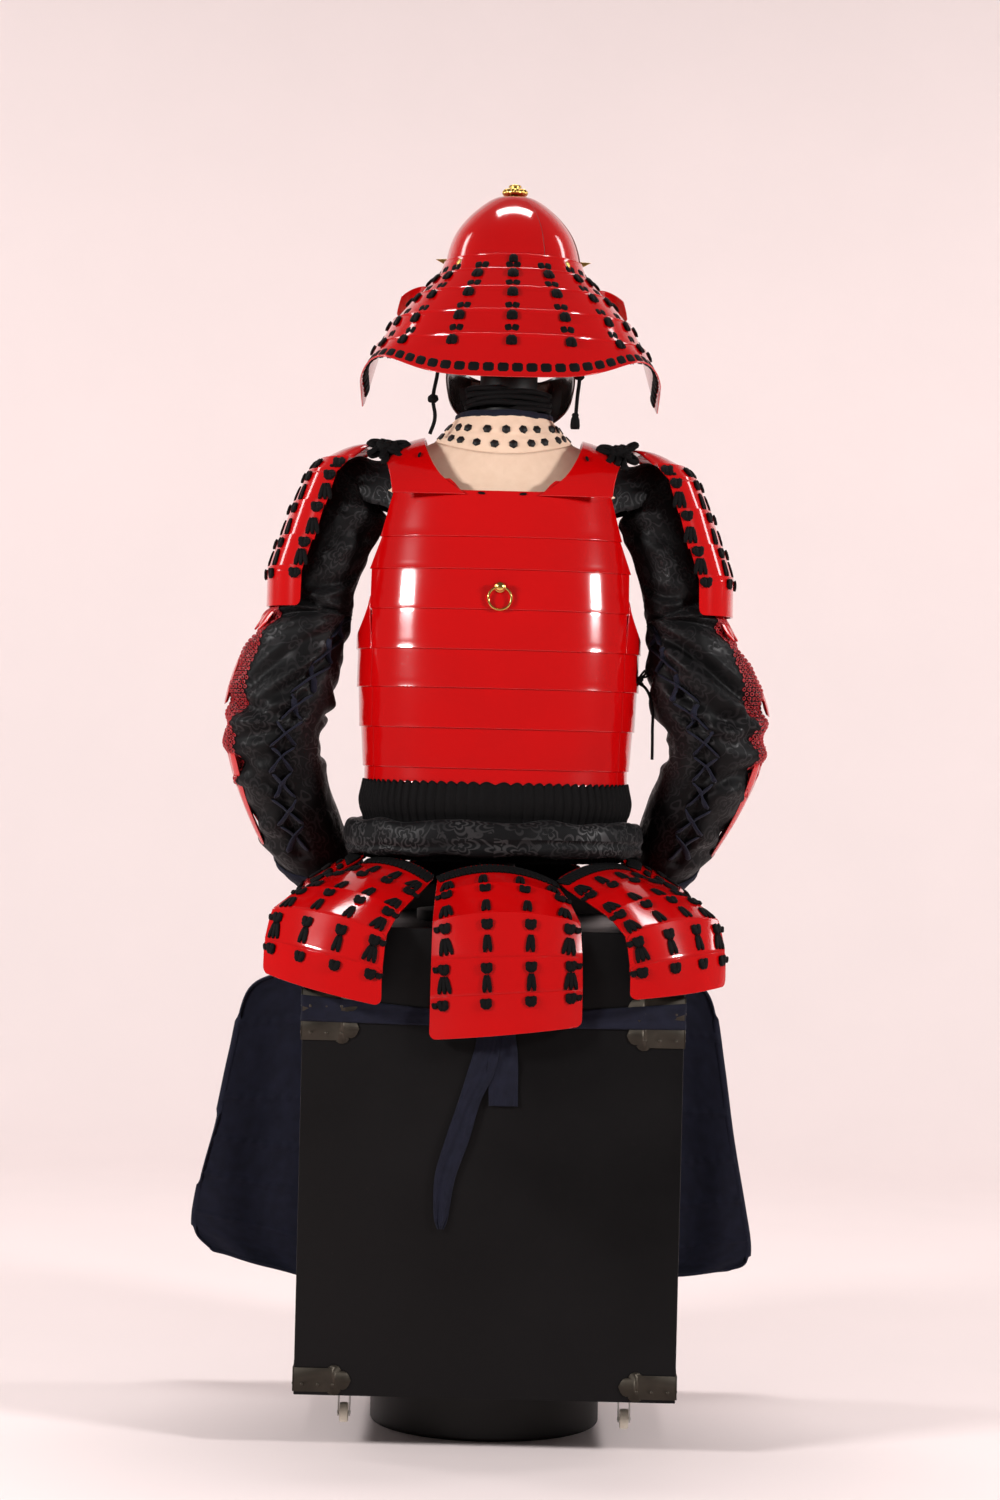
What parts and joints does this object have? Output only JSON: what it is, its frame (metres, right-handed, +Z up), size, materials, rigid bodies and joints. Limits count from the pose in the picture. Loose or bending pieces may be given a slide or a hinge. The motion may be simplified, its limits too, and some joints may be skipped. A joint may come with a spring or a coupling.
{
  "type": "samurai armour on a stand and chest",
  "caption": "Full samurai armour with helmet, mask, laced plates, sleeves and thigh apron, set on a stand and a lacquered storage chest with hidden casters.",
  "frame": {"origin": "centre of the plinth's underside, on the floor", "axes": "+Z up, +Y the way the armour faces, +X to the armour's right hand as seen from behind"},
  "size_m": [0.776, 0.5543, 1.6375],
  "materials": {
    "lacquer": "glossy bright red lacquer on iron",
    "cord": "black flat-braided silk cord",
    "brocade": "black silk brocade with grey floral weave",
    "navy_cloth": "dark navy cotton and leather",
    "cotton": "cream quilted cotton",
    "brass": "gilt brass",
    "chest_lacquer": "near-black lacquered wood",
    "steel": "zinc-plated steel",
    "wheel": "off-white moulded plastic",
    "stand_wood": "black stained wood",
    "mask_lacquer": "dark brown lacquer on iron"
  },
  "bodies": {
    "armour": {"plinth": "stand_wood", "chest_body": "chest_lacquer", "chest_lid": "chest_lacquer", "cuirass_back": "lacquer", "cuirass_front": "lacquer", "cuirass_side_left": "lacquer", "cuirass_side_right": "lacquer", "shoulder_strap_left": "lacquer", "shoulder_strap_right": "lacquer", "ring_stud": "brass", "waist_lacing": "cord", "sash": "brocade", "tasset_rear": "lacquer", "tasset_rear_left": "lacquer", "tasset_rear_right": "lacquer", "tasset_side_left": "lacquer", "tasset_side_right": "lacquer", "tasset_front_left": "lacquer", "tasset_front_right": "lacquer", "shoulder_guard_left": "lacquer", "sleeve_left_upper": "brocade", "sleeve_left_lower": "brocade", "hand_guard_left": "lacquer", "shoulder_guard_right": "lacquer", "sleeve_right_upper": "brocade", "sleeve_right_lower": "brocade", "hand_guard_right": "lacquer", "shoulder_yoke": "cotton", "collar": "cotton", "stand_post": "stand_wood", "head_rest": "stand_wood", "neck_cords": "cord", "helmet_bowl": "lacquer", "helmet_finial": "brass", "helmet_visor": "lacquer", "helmet_crest": "brass", "helmet_base_plate": "lacquer", "neck_guard_lame_1": "lacquer", "neck_guard_lame_2": "lacquer", "neck_guard_lame_3": "lacquer", "neck_guard_lame_4": "lacquer", "turn_back_left": "lacquer", "turn_back_right": "lacquer", "face_mask": "mask_lacquer", "throat_guard": "lacquer", "apron_band": "navy_cloth", "apron_panel_left": "navy_cloth", "apron_panel_right": "navy_cloth", "chin_cord_left": "cord", "chin_cord_right": "cord", "side_tie": "cord"},
    "ring": {"back_ring": "brass"},
    "caster_rear_left": {"caster_fork_1": "steel"},
    "wheel_rear_left": {"caster_wheel_1": "wheel"},
    "caster_rear_right": {"caster_fork_2": "steel"},
    "wheel_rear_right": {"caster_wheel_2": "wheel"},
    "caster_front_left": {"caster_fork_3": "steel"},
    "wheel_front_left": {"caster_wheel_3": "wheel"},
    "caster_front_right": {"caster_fork_4": "steel"},
    "wheel_front_right": {"caster_wheel_4": "wheel"}
  },
  "joints": [
    {"name": "ring_swing", "type": "hinge", "parent": "armour", "child": "ring", "pos_m": [-0.005, -0.12993, 1.097], "axis": [-1, 0, 0], "range_deg": [0, 175]},
    {"name": "caster_swivel_rear_left", "type": "hinge", "parent": "armour", "child": "caster_rear_left", "pos_m": [-0.178, -0.172, 0.0686], "axis": [0, 0, 1], "continuous": true},
    {"name": "wheel_spin_rear_left", "type": "hinge", "parent": "caster_rear_left", "child": "wheel_rear_left", "pos_m": [-0.178, -0.181, 0.041], "axis": [1, 0, 0], "continuous": true},
    {"name": "caster_swivel_rear_right", "type": "hinge", "parent": "armour", "child": "caster_rear_right", "pos_m": [0.178, -0.172, 0.0686], "axis": [0, 0, 1], "continuous": true},
    {"name": "wheel_spin_rear_right", "type": "hinge", "parent": "caster_rear_right", "child": "wheel_rear_right", "pos_m": [0.178, -0.181, 0.041], "axis": [1, 0, 0], "continuous": true},
    {"name": "caster_swivel_front_left", "type": "hinge", "parent": "armour", "child": "caster_front_left", "pos_m": [-0.178, 0.172, 0.0686], "axis": [0, 0, 1], "continuous": true},
    {"name": "wheel_spin_front_left", "type": "hinge", "parent": "caster_front_left", "child": "wheel_front_left", "pos_m": [-0.178, 0.163, 0.041], "axis": [1, 0, 0], "continuous": true},
    {"name": "caster_swivel_front_right", "type": "hinge", "parent": "armour", "child": "caster_front_right", "pos_m": [0.178, 0.172, 0.0686], "axis": [0, 0, 1], "continuous": true},
    {"name": "wheel_spin_front_right", "type": "hinge", "parent": "caster_front_right", "child": "wheel_front_right", "pos_m": [0.178, 0.163, 0.041], "axis": [1, 0, 0], "continuous": true}
  ]
}
